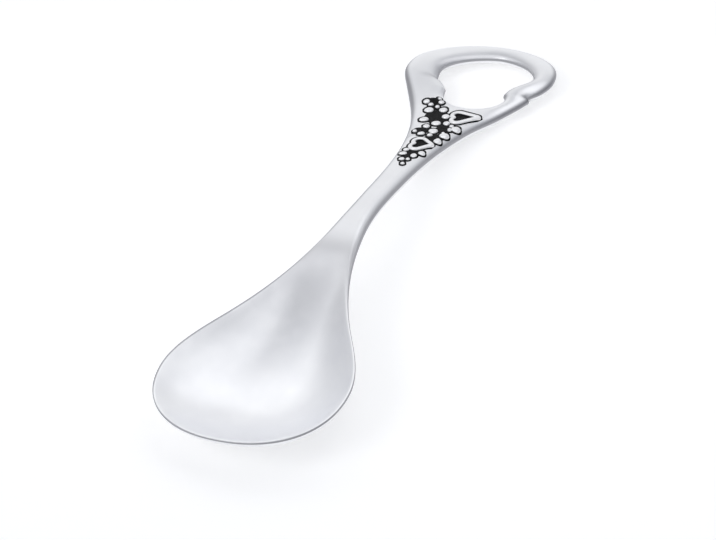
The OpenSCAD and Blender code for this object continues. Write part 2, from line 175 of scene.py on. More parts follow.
def curve(stations, s):
    """Smooth curve through stations of place, value and slope."""
    s = np.asarray(s, float)
    i = np.clip(np.searchsorted(stations[1:-1, 0], s), 0, len(stations) - 2)
    a = stations[i]
    b = stations[i + 1]
    run = b[..., 0] - a[..., 0]
    u = (s - a[..., 0]) / run
    ends = a[..., 1] * (1 - 3 * u**2 + 2 * u**3) + b[..., 1] * (3 * u**2 - 2 * u**3)
    return ends + run * (a[..., 2] * (u**3 - 2 * u**2 + u) + b[..., 2] * (u**3 - u**2))


def ease(s, start, end):
    """Eased step from 0 to 1 between two places."""
    u = np.clip((s - start) / (end - start), 0, 1)
    return 3 * u**2 - 2 * u**3


def rise(s):
    """Height of the middle skin, eased over the bend from the flat to the loop."""
    s = np.asarray(s, float)
    plain = curve(RISE_STATIONS, s)
    soft = np.mean([curve(RISE_STATIONS, s + d) for d in EASE_OFFSETS], 0)
    return plain + (soft - plain) * ease(s, *EASE_IN) * (1 - ease(s, *EASE_OUT))


def half_thick(s):
    """Half the thickness of the metal, thin in the bowl and thicker in the handle."""
    return HALF_BOWL_T + (HALF_T - HALF_BOWL_T) * ease(s, SHOULDER_AT, NECK_AT)


def edge_round(s):
    """Width of the rounding along the edges."""
    stem = (STEM_ROUND - HALF_BOWL_T) * ease(s, SHOULDER_AT, NECK_AT)
    bar = (BAR_ROUND - STEM_ROUND) * ease(s, FLARE_AT, WAIST_AT)
    return HALF_BOWL_T + stem + bar


def oval(turn, power):
    """Cosine and sine of a quarter turn, drawn to a superellipse."""
    c = np.clip(np.cos(turn * math.pi / 2), 0, 1)
    d = np.clip(np.sin(turn * math.pi / 2), 0, 1)
    return c ** (2 / power), d ** (2 / power)


def front_points(turn, side):
    """Front outline: turn 0 at the tip, 1 at the widest place."""
    c, d = oval(turn, FRONT_POWER)
    return np.stack([BOWL_WIDE_AT * (1 - c), side * BOWL_W / 2 * d], -1)


def outer_points(p, side):
    """Outer outline: 0 at the web, 1 at the waist, 2 at the widest place, 3 at the end."""
    p = np.asarray(p, float)
    arm = WEB_AT + p * (WAIST_AT - WEB_AT)
    bar = WAIST_AT + (p - 1) * (CAP_AT - WAIST_AT)
    c, d = oval(np.clip(p - 2, 0, 1), CAP_POWER)
    s = np.where(p <= 1, arm, np.where(p <= 2, bar, CAP_AT + CAP_BACK * d))
    half = np.where(p <= 2, curve(SIDE_STATIONS, np.minimum(s, CAP_AT)), CAP_W / 2 * c)
    return np.stack([s, side * half + CAP_LEAN * ease(s, FLARE_AT, CAP_AT)], -1)


def gap_points(q, side):
    """Outline of the finger gap: 0 at the crotch, 1 at the waist, 3 at the loop's end."""
    q = np.asarray(q, float)
    c0, d0 = oval(np.clip(q, 0, 1), 2)
    c1, d1 = oval(np.clip(q - 2, 0, 1), GAP_POWER)
    bar = WAIST_AT + (q - 1) * (CAP_AT - WAIST_AT)
    s = np.where(q <= 1, WAIST_AT - (WAIST_AT - GAP_AT) * c0,
                 np.where(q <= 2, bar, CAP_AT + (GAP_END_AT - CAP_AT) * d1))
    half = np.where(q <= 1, WAIST_GAP_W / 2 * d0,
                    np.where(q <= 2, curve(GAP_STATIONS, s), CAP_GAP_W / 2 * c1))
    return np.stack([s, side * half + GAP_LEAN], -1)


def facing(p):
    """Place on the gap's outline that faces the place p on the outer one."""
    p = np.asarray(p, float)
    return np.where(p >= 1, p, CROTCH_SHARE + (1 - CROTCH_SHARE) * p**SWING_POWER)


def half_outline(side):
    """Outer outline of one side, from the tip to the end of the loop."""
    front = front_points(np.linspace(0, 1, OUTLINE_STEPS, endpoint=False), side)
    s = np.linspace(BOWL_WIDE_AT, WEB_AT, OUTLINE_STEPS, endpoint=False)
    strip = np.stack([s, side * curve(SIDE_STATIONS, s)], -1)
    return np.concatenate([front, strip, outer_points(np.linspace(0, 3, 3 * OUTLINE_STEPS), side)])


def closed(left, right):
    """One closed line from the two sides."""
    return np.concatenate([left, right[::-1]])


OUTLINE = closed(half_outline(1), half_outline(-1))
GAP_TURNS = np.linspace(0, 3, 3 * OUTLINE_STEPS)
GAP_OUTLINE = closed(gap_points(GAP_TURNS, 1), gap_points(GAP_TURNS, -1))


def distance(points, ring, skip=8):
    """Distance of each point from a closed line: a near corner first, then the sides by it."""
    flat = points.reshape(-1, 2)
    corners = ring[::skip]
    far = sum((flat[:, None, k] - corners[None, :, k])**2 for k in (0, 1))
    near = skip * far.argmin(1)
    best = np.full(len(flat), np.inf)
    ahead = np.roll(ring, -1, 0) - ring
    for i in range(-skip - 1, skip + 1):
        n = (near + i) % len(ring)
        gap = flat - ring[n]
        side = ahead[n]
        u = np.clip((gap * side).sum(1) / np.maximum((side**2).sum(1), TINY_AREA), 0, 1)
        best = np.minimum(best, ((gap - u[:, None] * side)**2).sum(1))
    return np.sqrt(best).reshape(points.shape[:-1])


def round_off(d, r):
    """Quarter round from an edge, where it is 0, to the flat, where it is 1."""
    return np.sqrt(1 - (1 - np.minimum(1, d / r))**2)


def lift_at(points):
    """Share of the half thickness that the skin stands off the middle."""
    r = edge_round(points[..., 0])
    return round_off(distance(points, OUTLINE), r) * round_off(distance(points, GAP_OUTLINE), r)


def hollow(s, v):
    """Drop of the bowl's hollow below the rim: 0 at the rim and 1 at the floor."""
    u = np.clip((s - BOWL_WIDE_AT) / (HOLLOW_END_AT - BOWL_WIDE_AT), 0, 1)
    return (1 - u**2)**2 * (1 - np.abs(v)**HOLLOW_POWER)


def skins(points, drop, lift):
    """Top and bottom skin over places in plan."""
    s = points[..., 0]
    middle = rise(s) - (rise(s) - HALF_BOWL_T) * drop
    x = s - SPOON_LEN / 2
    top = np.stack([x, points[..., 1], middle + lift * half_thick(s)], -1)
    bottom = np.stack([x, points[..., 1], middle - lift * half_thick(s)], -1)
    return top, bottom


class Builder:
    """Collects patches of quads and welds them to one mesh."""

    def __init__(self):
        self.points = []
        self.shade_and_patina = []
        self.faces = []

    def add(self, points, faces, shade_and_patina=0.0):
        """Adds points with their darkening value, for painted shade and patina, and faces over them."""
        base = len(self.points)
        self.points.extend(points.tolist())
        self.shade_and_patina.extend(np.broadcast_to(shade_and_patina, len(points)).tolist())
        self.faces.extend([[base + i for i in f] for f in faces])

    def grid(self, patch, flip=False, wrap=False, shade_and_patina=0.0):
        """Adds a patch as quads, closed from its last column to its first where it wraps."""
        rows, cols = patch.shape[:2]
        last = cols if wrap else cols - 1
        faces = []
        for i in range(rows - 1):
            for j in range(last):
                k = (j + 1) % cols
                quad = [i * cols + j, (i + 1) * cols + j, (i + 1) * cols + k, i * cols + k]
                faces.append(quad[::-1] if flip else quad)
        self.add(patch.reshape(-1, 3), faces, np.broadcast_to(shade_and_patina, patch.shape[:2]).reshape(-1))

    def mesh(self, name):
        """The welded mesh in metres, smooth but for the rims of its end faces."""
        data = bpy.data.meshes.new(name)
        data.from_pydata((np.array(self.points) * MM).tolist(), [], self.faces)
        work = bmesh.new()
        work.from_mesh(data)
        layer = work.verts.layers.float.new(SHADE_AND_PATINA)
        for vert, value in zip(work.verts, self.shade_and_patina):
            vert[layer] = value
        bmesh.ops.remove_doubles(work, verts=work.verts, dist=WELD)
        bmesh.ops.dissolve_degenerate(work, edges=work.edges, dist=SLIVER)
        bmesh.ops.delete(work, geom=[v for v in work.verts if not v.link_faces], context="VERTS")
        bmesh.ops.recalc_face_normals(work, faces=work.faces)
        for face in work.faces:
            face.smooth = True
            if len(face.verts) > 4:
                for edge in face.edges:
                    edge.smooth = False
        work.to_mesh(data)
        work.free()
        return data


def piece(name, data, material, slot, *nodes):
    """A visible piece on the one body, in place of the nodes named."""
    obj = bpy.data.objects.new(name, data)
    bpy.context.scene.collection.objects.link(obj)
    data.materials.append(material)
    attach(obj, "root")
    if nodes:
        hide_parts(*nodes)
    return obj


# Painted dark reflection along the metal's edges, standing in for the darker surroundings they mirror: the
# lift up to which it is full and the lift where it ends
NEAR_TONE = (0.3, 0.75)
RIM_TONE = (0.8, 1.0)
FAR_TONE = (0.5, 0.85)
YOKE_TONE = (0.6, 1.0)
GAP_TONE = (0.12, 0.35)
UNDER_TONE = (0.06, 0.15)
# Turns of the bowl's front and places along the right bar where one pair of limits gives way to another
FRONT_CHANGE = (0.55, 0.9)
OUTER_CHANGE = (2.0, 2.8)
INNER_CHANGE = (1.8, 2.6)
# Painted darker reflection at the rear of the bowl: its depth, where it starts and ends, and its skew
# across the bowl
REAR_PAINTED_REFLECTION = 0.45
REAR_FROM = (25.0, 42.0)
REAR_TO = (46.0, 52.5)
REAR_SKEW = 0.1
# Painted darker reflection on the inner half of the loop: where the half starts across the bar, the tone's
# depth, its limits of lift and where it starts along the bar
MIDDLE_SHARE = 0.5
INNER_PAINTED_REFLECTION = 0.4
INNER_WIDE = (0.55, 0.98)
INNER_FROM = (1.1, 1.8)


def edge_dark_reflection(lift, limits):
    """Painted dark reflection along an edge, as a share: 1 at the edge and 0 on the flat."""
    return 1 - ease(lift, *limits)


def between(a, b, share):
    """A pair of limits between two others."""
    return tuple(x + (y - x) * share for x, y in zip(a, b))


def left_tone(s):
    """Limits of the painted dark reflection along the left outline, widest at the yoke."""
    handle = between(RIM_TONE, FAR_TONE, ease(s, FLARE_AT, CAP_AT))
    return between(handle, YOKE_TONE, ease(s, NECK_AT, FLARE_AT) * (1 - ease(s, FLARE_AT, CAP_AT)))


def sided_tone(points, lift):
    """Painted dark reflection of a patch that reaches from the left outline to the right one."""
    left = edge_dark_reflection(lift, left_tone(points[..., 0]))
    return np.where(points[..., 1] > 0, left, edge_dark_reflection(lift, NEAR_TONE))


def rear_painted_reflection(points):
    """Duller tone of the bowl's rear, which stands in for a darker reflection there."""
    s = points[..., 0]
    start = ease(s + REAR_SKEW * points[..., 1], *REAR_FROM)
    return REAR_PAINTED_REFLECTION * start * (1 - ease(s, *REAR_TO))


def cross_shares(s, w):
    """Places across the blank as shares of its half width, from the edge to the middle."""
    r = np.minimum(edge_round(s), BAR_ROUND_SHARE * w) / w
    near = 1 - EDGE_SHARES * r
    inner = CROSS_STEPS - EDGE_STEPS
    return np.concatenate([near, (1 - r) * (1 - np.arange(1, inner + 1) / inner)])


def full_shares(s, w):
    """Places across the blank from its left edge to its right one."""
    half = cross_shares(s, w)
    return np.concatenate([half, -half[-2::-1]])


def strip_patch():
    """The rear of the bowl and the stem."""
    places = np.linspace(BOWL_WIDE_AT, WEB_AT, STRIP_STEPS + 1)
    width = curve(SIDE_STATIONS, places)
    v = np.array([full_shares(s, w) for s, w in zip(places, width)])
    points = np.stack([np.repeat(places[:, None], v.shape[1], 1), v * width[:, None]], -1)
    lift = lift_at(points)
    lift[:, [0, -1]] = 0
    # Painted dark reflection along the edges and at the bowl's rear
    tone = np.maximum(sided_tone(points, lift), rear_painted_reflection(points))
    return *skins(points, hollow(points[..., 0], v), lift), lift, tone


def fan_patch():
    """The front of the bowl."""
    turns = np.linspace(1, -1, RAYS + 1)
    rim = np.array([front_points(abs(t), 1 if t >= 0 else -1) for t in turns])
    shares = cross_shares(BOWL_WIDE_AT, BOWL_W / 2)[::-1]
    centre = np.array([BOWL_WIDE_AT, 0])
    points = centre + shares[None, :, None] * (rim - centre)[:, None, :]
    lift = lift_at(points)
    lift[:, -1] = 0
    drop = np.repeat((1 - shares**HOLLOW_POWER)[None], RAYS + 1, 0)
    # Painted dark reflection along the front's rim, taking the rim's limits towards its left side
    tone = edge_dark_reflection(lift, between(NEAR_TONE, RIM_TONE, ease(turns, *FRONT_CHANGE)[:, None]))
    return *skins(points, drop, lift), lift, tone


def row_shares(a, b):
    """Places along a cross section from its outer to its inner end, as shares."""
    long = np.linalg.norm(b - a)
    r = min(edge_round(a[0]), BAR_ROUND_SHARE * long) / long
    near = EDGE_SHARES * r
    middle = r + (1 - 2 * r) * np.arange(1, MIDDLE_ROWS + 1) / (MIDDLE_ROWS + 1)
    return np.concatenate([near, middle, 1 - near[::-1]])


def section_rows(outer, inner):
    """Places on the cross sections between two lines."""
    shares = np.array([row_shares(a, b) for a, b in zip(outer, inner)])
    return outer[:, None, :] + shares[..., None] * (inner - outer)[:, None, :]


def web_patch():
    """The web between the stem and the crotch of the gap."""
    width = curve(SIDE_STATIONS, WEB_AT)
    v = full_shares(WEB_AT, width)
    outer = np.stack([np.full(len(v), WEB_AT), v * width], -1)
    q = CROTCH_SHARE * np.linspace(1, -1, len(v))
    inner = np.array([gap_points(abs(t), 1 if t >= 0 else -1) for t in q])
    points = section_rows(outer, inner)
    lift = lift_at(points)
    lift[:, -1] = 0
    lift[[0, -1], 0] = 0
    return *skins(points, np.zeros(lift.shape), lift), lift, sided_tone(points, lift)


# Joints of the arms and the bar: a swelling, a crease that fades out across the bar, a knuckle on the
# right one, and painted shade in the crease
SWELL_SHARE = 0.07
SWELL_LONG = 2.2
LEFT_CREASE = 0.18
RIGHT_CREASE = 0.4
CREASE_ARM = 0.9
CREASE_BAR = 1.4
CREASE_FROM = 0.55
CREASE_TO = 1.0
LEFT_CREASE_AT = WAIST_AT + 2.2
LEFT_SWELL_AT = WAIST_AT - 1.0
RIGHT_SWELL_AT = WAIST_AT - 2.2
KNUCKLE_AT = WAIST_AT + 1.4
KNUCKLE_LONG = 2.5
KNUCKLE_SHARE = 0.62
KNUCKLE_FROM = 0.3
# Painted shade in the creases: its depth on each side, its length along the bar and where it starts across
# it
LEFT_CREASE_SHADE = 0.6
RIGHT_CREASE_SHADE = 0.9
CREASE_SHADE_LONG = 0.6
CREASE_SHADE_FROM = 0.3


def hump(s, at, long):
    """A smooth hump of height 1."""
    return np.exp(-((s - at) / long)**2)


def crease_depth(s, side):
    """Depth of the crease, as a share of the section: steep on the arm, gentle on the bar."""
    back = (LEFT_CREASE_AT if side > 0 else WAIST_AT) - s
    arm = 1 - round_off(np.maximum(back, 0), CREASE_ARM)
    depth = LEFT_CREASE if side > 0 else RIGHT_CREASE
    return depth * np.where(back > 0, arm, hump(back, 0, CREASE_BAR))


def joint_size(s, share, side):
    """Size of a section near the joint, across it from its outer to its inner end."""
    fade = ease(share if side > 0 else 1 - share, CREASE_FROM, CREASE_TO)
    swell = SWELL_SHARE * hump(s, LEFT_SWELL_AT if side > 0 else RIGHT_SWELL_AT, SWELL_LONG)
    size = 1 + (swell - crease_depth(s, side)) * fade
    if side < 0:
        size = size + KNUCKLE_SHARE * hump(s, KNUCKLE_AT, KNUCKLE_LONG) * ease(share, KNUCKLE_FROM, 1)
    return size


def bar_tone(p, s, share, lift, side):
    """Painted dark reflection on the top of an arm or of the bar, and the painted darker reflection on the
    loop's inner half.
    """
    if side > 0:
        outer = left_tone(s)
        inner = GAP_TONE
    else:
        outer = between(NEAR_TONE, FAR_TONE, ease(p, *OUTER_CHANGE))
        inner = between(NEAR_TONE, GAP_TONE, ease(p, *INNER_CHANGE))
    inner_reflection = INNER_PAINTED_REFLECTION * edge_dark_reflection(lift, INNER_WIDE) * ease(p, *INNER_FROM)
    return np.where(share < MIDDLE_SHARE, edge_dark_reflection(lift, outer), np.maximum(edge_dark_reflection(lift, inner), inner_reflection))


def crease_shade(s, share, side):
    """Painted shade in the crease of a joint."""
    if side > 0:
        return LEFT_CREASE_SHADE * hump(s, LEFT_CREASE_AT, CREASE_SHADE_LONG) * ease(share, CREASE_SHADE_FROM, 1)
    return RIGHT_CREASE_SHADE * hump(s, WAIST_AT, CREASE_SHADE_LONG) * ease(1 - share, CREASE_SHADE_FROM, 1)


def bar_sections(p, side):
    """Closed cross sections of an arm or of the bar."""
    outer = outer_points(p, side)
    points = section_rows(outer, gap_points(facing(p), side))
    lift = lift_at(points)
    lift[:, [0, -1]] = 0
    top, bottom = skins(points, np.zeros(lift.shape), lift)
    ring = np.concatenate([top, bottom[:, -2:0:-1]], 1)
    centre = (top[:, :1] + top[:, -1:]) / 2
    across = np.linalg.norm(ring[..., :2] - ring[:, :1, :2], axis=-1)
    share = across / across.max(1, keepdims=True)
    size = joint_size(outer[:, :1], share, side)
    upper = bar_tone(p[:, None], outer[:, :1], share[:, :lift.shape[1]], lift, side)
    # Painted dark reflection along the underside's edges
    tone = np.concatenate([upper, edge_dark_reflection(lift, UNDER_TONE)[:, -2:0:-1]], 1)
    tone = np.maximum(tone, crease_shade(outer[:, :1], share, side))
    return centre + (ring - centre) * size[..., None], tone


def blank_mesh():
    """Bowl, stem, web and the two arms as one closed skin."""
    build = Builder()
    for top, bottom, lift, tone in (strip_patch(), fan_patch(), web_patch()):
        build.grid(top, shade_and_patina=tone)
        # Painted dark reflection along the underside's edges
        build.grid(bottom, flip=True, shade_and_patina=edge_dark_reflection(lift, UNDER_TONE))
    for side in (1, -1):
        ring, tone = bar_sections(np.linspace(0, 1, ARM_STEPS + 1)**ARM_EASE, side)
        build.grid(ring, wrap=True, shade_and_patina=tone)
        build.add(ring[-1], [list(range(ring.shape[1]))], tone[-1])
    return build.mesh("spoon_blank_fine")


def loop_mesh():
    """The bar of the loop, closed at the two joints."""
    build = Builder()
    p = np.linspace(1, 3, CAP_STEPS + 1)
    left = bar_sections(p, 1)
    right = bar_sections(p[:-1], -1)
    rings = np.concatenate([left[0], right[0][::-1]])
    tones = np.concatenate([left[1], right[1][::-1]])
    build.grid(rings, wrap=True, shade_and_patina=tones)
    for end in (0, -1):
        build.add(rings[end], [list(range(rings.shape[1]))], tones[end])
    return build.mesh("loop_bar_fine")


def surface(points, step=0.04):
    """Height and outward normal of the yoke's top, which carries the ornament."""
    def height(at):
        return rise(at[..., 0]) + lift_at(at) * half_thick(at[..., 0])
    z = height(points)
    along = np.array([step, 0])
    across = np.array([0, step])
    dx = (height(points + along) - height(points - along)) / (2 * step)
    dy = (height(points + across) - height(points - across)) / (2 * step)
    normal = np.stack([-dx, -dy, np.ones_like(z)], -1)
    return z, normal / np.linalg.norm(normal, axis=-1, keepdims=True)


def drape(points, high):
    """Points at heights over the yoke's top."""
    z, normal = surface(points)
    x = points[..., 0] - SPOON_LEN / 2
    return np.stack([x, points[..., 1], z], -1) + high[..., None] * normal


# Shape of the petals, and the share of their height over which the black patina round the foot ends
RELIEF_H = 0.5
TAIL_H = 0.42
FOOT = 0.25
DOME_POWER = 2.6
PETAL_RINGS = 9
PETAL_SIDES = 28
PETAL_TAPER = 0.15
PETAL_SOOT = (0.05, 0.4)

# Petals: place along the spoon, place across, length, width, turn
LARGE_PETALS = [
    (95.8, 3.9, 1.8, 1.7, -60), (96.4, 1.3, 1.6, 1.5, -80), (94.1, -0.2, 1.5, 1.5, -80),
    (91.5, -1.5, 1.3, 1.3, -90), (91.1, 0.4, 1.8, 1.5, -75), (92.0, 3.2, 1.8, 1.4, -60)]
ARM_PETALS = [
    (98.5, 5.5, 1.3, 1.2, -60), (97.7, 4.3, 1.1, 0.8, -70), (98.8, 2.7, 1.1, 1.0, -85),
    (97.2, 2.8, 0.9, 0.8, -75), (99.9, 3.5, 0.8, 0.5, -100)]
STEM_PETALS = [
    (88.0, -0.4, 1.8, 1.6, -95), (89.2, -3.1, 0.8, 1.1, -70), (90.6, -2.9, 0.9, 0.7, -80),
    (86.3, -0.5, 1.1, 0.8, -60), (84.9, -2.7, 0.8, 0.7, -80), (87.5, -2.6, 0.7, 0.6, -80)]
LEAF_PETALS = [
    (89.5, 1.6, 1.3, 1.2, -75), (86.5, 1.3, 1.4, 0.9, -65), (87.1, 2.8, 0.8, 0.7, -75),
    (86.8, -3.05, 1.8, 1.6, -90), (84.5, -2.75, 1.4, 1.4, -75), (89.8, -4.0, 1.7, 1.6, -90)]
TAIL_PETALS = [
    (79.9, 1.25, 1.1, 0.9, -60), (78.4, 1.2, 1.5, 1.0, -65), (78.1, -1.0, 1.2, 1.3, -75),
    (79.4, -1.95, 1.2, 1.2, -80), (76.3, 0.5, 1.1, 0.9, -70), (76.5, -0.6, 0.8, 0.7, -75),
    (74.7, -0.4, 0.8, 0.7, -75)]
ALL_PETALS = LARGE_PETALS + ARM_PETALS + STEM_PETALS + LEAF_PETALS + TAIL_PETALS


def petal_outline(turn, long, wide):
    """Teardrop outline round the petal's middle."""
    x = np.cos(turn) * long / 2
    y = np.sin(turn) * wide / 2 * (1 + PETAL_TAPER * np.cos(turn))
    return np.stack([x, y], -1)


def turned(points, angle):
    """Points turned about the origin, in degrees."""
    c = math.cos(math.radians(angle))
    s = math.sin(math.radians(angle))
    return points @ np.array([[c, s], [-s, c]])


def add_petal(build, row, high, margin=0.0):
    """A low dome on an oval foot, sooty round its foot."""
    along, across, long, wide, angle = row
    long = long + 2 * margin
    wide = wide + 2 * margin
    t = np.linspace(0, 2 * math.pi, PETAL_SIDES, endpoint=False)
    rim = turned(petal_outline(t, long, wide), angle)
    inward, upward = oval(np.linspace(0, 1, PETAL_RINGS)[:-1], DOME_POWER)
    plan = np.concatenate([rim[None], rim[None] * inward[:, None, None]]) + np.array([along, across])
    up = np.concatenate([[-FOOT], high * upward])
    shade_and_patina = np.concatenate([[1], 1 - ease(upward, *PETAL_SOOT)])
    body = drape(plan, np.repeat(up[:, None], PETAL_SIDES, 1))
    build.grid(body, wrap=True, shade_and_patina=shade_and_patina[:, None])
    top = drape(np.array([[along, across]]), np.array([high]))
    build.add(np.concatenate([body[-1], top]),
              [[i, (i + 1) % PETAL_SIDES, PETAL_SIDES] for i in range(PETAL_SIDES)])
    build.add(body[0], [list(range(PETAL_SIDES))], 1)


def petals_mesh(name, rows, high):
    """A group of petals as one mesh."""
    build = Builder()
    for row in rows:
        add_petal(build, row, high)
    return build.mesh(name)


# Hearts: middle of the lobes, lobe radius, lobe spacing, length to the tip, width of the frame, turn
UPPER_HEART = dict(at=(94.2, -2.55), lobe_r=1.55, lobe_x=0.95, tip=4.8, bar=0.9, turn=18)
LOWER_HEART = dict(at=(82.5, 0.1), lobe_r=1.55, lobe_x=0.95, tip=3.5, bar=0.85, turn=6)
HEART_STEPS = 40
HEART_POINTS = 120
HEART_SMOOTHING = 6
BAR_STEPS = 13
HEART_SOOT_IN = (0.4, 0.8)
HEART_SOOT_OUT = (0.0, 0.3)


def heart_line(heart, inset=0.0):
    """Closed heart outline in plan, its tip along -y before the turn."""
    lobe_r = heart["lobe_r"] - inset
    lobe_x = heart["lobe_x"]
    tip = heart["tip"] - 2 * inset
    to_tip = math.atan2(-tip, -lobe_x) + math.acos(lobe_r / math.hypot(lobe_x, tip))
    start = math.acos(-lobe_x / lobe_r) if lobe_r > lobe_x else math.pi
    turn = np.linspace(start, to_tip, HEART_STEPS)
    lobe = np.stack([lobe_x + lobe_r * np.cos(turn), lobe_r * np.sin(turn)], -1)
    side = np.linspace(lobe[-1], np.array([0, -tip]), HEART_STEPS // 2 + 1)[1:]
    half = np.concatenate([lobe, side])
    ring = np.concatenate([half, half[-2:0:-1] * np.array([-1, 1])])
    return turned(ring, heart["turn"]) + np.array(heart["at"])


def smoothed(ring, rounds):
    """The closed line with its corners rounded."""
    for _ in range(rounds):
        ring = (np.roll(ring, 1, 0) + 2 * ring + np.roll(ring, -1, 0)) / 4
    return ring


def spaced(ring, count):
    """The closed line again, with even spacing."""
    loop = np.concatenate([ring, ring[:1]])
    run = np.concatenate([[0], np.cumsum(np.linalg.norm(np.diff(loop, axis=0), axis=1))])
    at = np.linspace(0, run[-1], count, endpoint=False)
    return np.stack([np.interp(at, run, loop[:, k]) for k in (0, 1)], -1)


def heart_ring(heart):
    """Middle line of the heart's frame, and the way inward along it."""
    ring = smoothed(spaced(heart_line(heart, heart["bar"] / 2), HEART_POINTS), HEART_SMOOTHING)
    ahead = np.roll(ring, -1, 0) - np.roll(ring, 1, 0)
    ahead /= np.linalg.norm(ahead, axis=1, keepdims=True)
    return ring, np.stack([ahead[:, 1], -ahead[:, 0]], -1)


def heart_frame_mesh(name, heart, high):
    """A rounded bar along the heart's outline, sooty on its inner side and round its foot."""
    ring, inward = heart_ring(heart)
    turn = np.linspace(0, 1, BAR_STEPS)
    c, d = oval(np.concatenate([turn, turn[-2::-1]]), DOME_POWER)
    c[BAR_STEPS:] *= -1
    off = np.concatenate([c, [-1, 1]]) * heart["bar"] / 2
    up = np.concatenate([d * high, [-FOOT, -FOOT]])
    share = up / high
    level = np.where(off > 0, 1 - ease(share, *HEART_SOOT_IN), 1 - ease(share, *HEART_SOOT_OUT))
    plan = ring[:, None, :] + inward[:, None, :] * off[None, :, None]
    body = drape(plan, np.repeat(up[None], len(ring), 0))
    build = Builder()
    build.grid(np.concatenate([body, body[:1]]), wrap=True, shade_and_patina=level[None])
    return build.mesh(name)


# The blackened bed round the motifs
BED_H = 0.12
BED_DEPTH = 0.3
BED_FOOT = 0.4
BED_MARGIN = 0.3
BED_STEP = 0.14
BED_FALL = 0.3
BED_CLEAR = 0.75
COLLAR = 0.26
COLLAR_H = 0.13
BED_SHIFT = np.array([0.52, 0.26])
BED_FAR = 9.0
LINE_SIDES = 32


def inside(points, ring):
    """True where a point lies inside a closed line."""
    a = ring
    b = np.roll(ring, -1, 0)
    x = points[..., 0, None]
    y = points[..., 1, None]
    cross = (a[:, 1] > y) != (b[:, 1] > y)
    rise_y = np.where(b[:, 1] == a[:, 1], TINY_LENGTH, b[:, 1] - a[:, 1])
    at = a[:, 0] + (y - a[:, 1]) * (b[:, 0] - a[:, 0]) / rise_y
    return ((cross & (x < at)).sum(-1) % 2) == 1


# Black eyes of the blossoms: place along, place across, length, width
EYES = [(94.0, 1.8, 4.6, 3.6), (99.1, 4.2, 1.6, 2.4), (89.5, -1.7, 2.8, 2.4), (85.8, -1.6, 2.4, 2.4),
        (88.0, 2.1, 1.6, 2.2), (92.6, -1.6, 2.0, 2.6), (79.6, 0.2, 2.6, 1.6), (77.4, -0.2, 2.2, 1.4)]


def motif_lines():
    """Outlines of all motifs, their copies towards the far side, and the eyes."""
    t = np.linspace(0, 2 * math.pi, LINE_SIDES, endpoint=False)
    lines = []
    for along, across, long, wide, angle in ALL_PETALS:
        lines.append(turned(petal_outline(t, long, wide), angle) + np.array([along, across]))
    for heart in (UPPER_HEART, LOWER_HEART):
        ring, inward = heart_ring(heart)
        lines.append(ring - inward * heart["bar"] / 2)
    lines += [line + BED_SHIFT for line in lines]
    for along, across, long, wide in EYES:
        lines.append(petal_outline(t, long, wide) + np.array([along, across]))
    return lines


def bed_cells(keep):
    """Cells of the bed's grid, filled up where two would meet at a corner only."""
    cells = keep[:-1, :-1] | keep[1:, :-1] | keep[:-1, 1:] | keep[1:, 1:]
    blocks = [cells[:-1, :-1], cells[1:, 1:], cells[1:, :-1], cells[:-1, 1:]]
    while True:
        a, b, c, d = blocks
        lone = (a & b & ~c & ~d) | (c & d & ~a & ~b)
        if not lone.any():
            return cells
        for block in blocks:
            block |= lone


def bed_faces(cells):
    """Faces of the top, the bottom and the wall between them, over the cells."""
    cols = cells.shape[1] + 1
    below = (cells.shape[0] + 1) * cols
    fringed = np.pad(cells, 1)
    faces = []
    for i, j in np.argwhere(cells):
        corners = [i * cols + j, (i + 1) * cols + j, (i + 1) * cols + j + 1, i * cols + j + 1]
        faces.append(corners)
        faces.append([c + below for c in corners[::-1]])
        beside = [fringed[i + 1, j], fringed[i + 2, j + 1], fringed[i + 1, j + 2], fringed[i, j + 1]]
        for k, joined in enumerate(beside):
            a = corners[k]
            b = corners[(k + 1) % 4]
            if not joined:
                faces.append([b, a, a + below, b + below])
    return [[int(n) for n in face] for face in faces]


def bed_mesh():
    """A black skin over the motifs' ground that sinks into the metal along its border."""
    lines = motif_lines()
    every = np.concatenate(lines)
    low = every.min(0) - 2 * BED_MARGIN - BED_FALL
    high = every.max(0) + 2 * BED_MARGIN + BED_FALL
    s = np.arange(low[0], high[0], BED_STEP)
    y = np.arange(low[1], high[1], BED_STEP)
    plan = np.stack(np.meshgrid(s, y, indexing="ij"), -1)
    away = np.full(plan.shape[:2], BED_FAR)
    for line in lines:
        d = distance(plan, line)
        away = np.minimum(away, np.where(inside(plan, line), -d, d))
    away = np.maximum(away, BED_MARGIN + BED_CLEAR - distance(plan, OUTLINE))
    top = BED_H - (BED_H + BED_DEPTH) * ease(away, BED_MARGIN - BED_FALL / 2, BED_MARGIN + BED_FALL)
    keep = away < BED_MARGIN + BED_FALL
    upper = drape(plan, top)
    lower = drape(plan, np.full(top.shape, -BED_FOOT))
    build = Builder()
    build.add(np.concatenate([upper, lower]).reshape(-1, 3), bed_faces(bed_cells(keep)))
    for row in LEAF_PETALS + TAIL_PETALS:
        add_petal(build, row, COLLAR_H, COLLAR)
    return build.mesh("ornament_bed_fine")


# A leafy sprig engraved on the bowl's back and filled with black
SPRIG_STEM = np.array([(27.5, -1.2), (19.0, 2.6), (9.0, 0.4)])
# Leaves of the sprig: place on its stem as a share, side, length
SPRIG_LEAVES = [
    (0.10, 1, 4.4), (0.22, -1, 5.2), (0.38, 1, 5.4),
    (0.52, -1, 5.4), (0.68, 1, 4.6), (0.8, -1, 4.0)]
LEAF_AHEAD = 0.02
LEAF_TURN = 44
LEAF_BULGE = 0.32
RIB_SHARE = 0.7
STROKE_W = 0.4
STROKE_TIP = 0.2
STROKE_STEPS = 24
# Section of a stroke: shares of its half width, and heights from the bowl's underside up into the metal
STROKE_OFF = np.array([-1, -0.7, 0.7, 1, 0])
STROKE_UP = np.array([0.01, -0.02, -0.02, 0.01, 0.1])


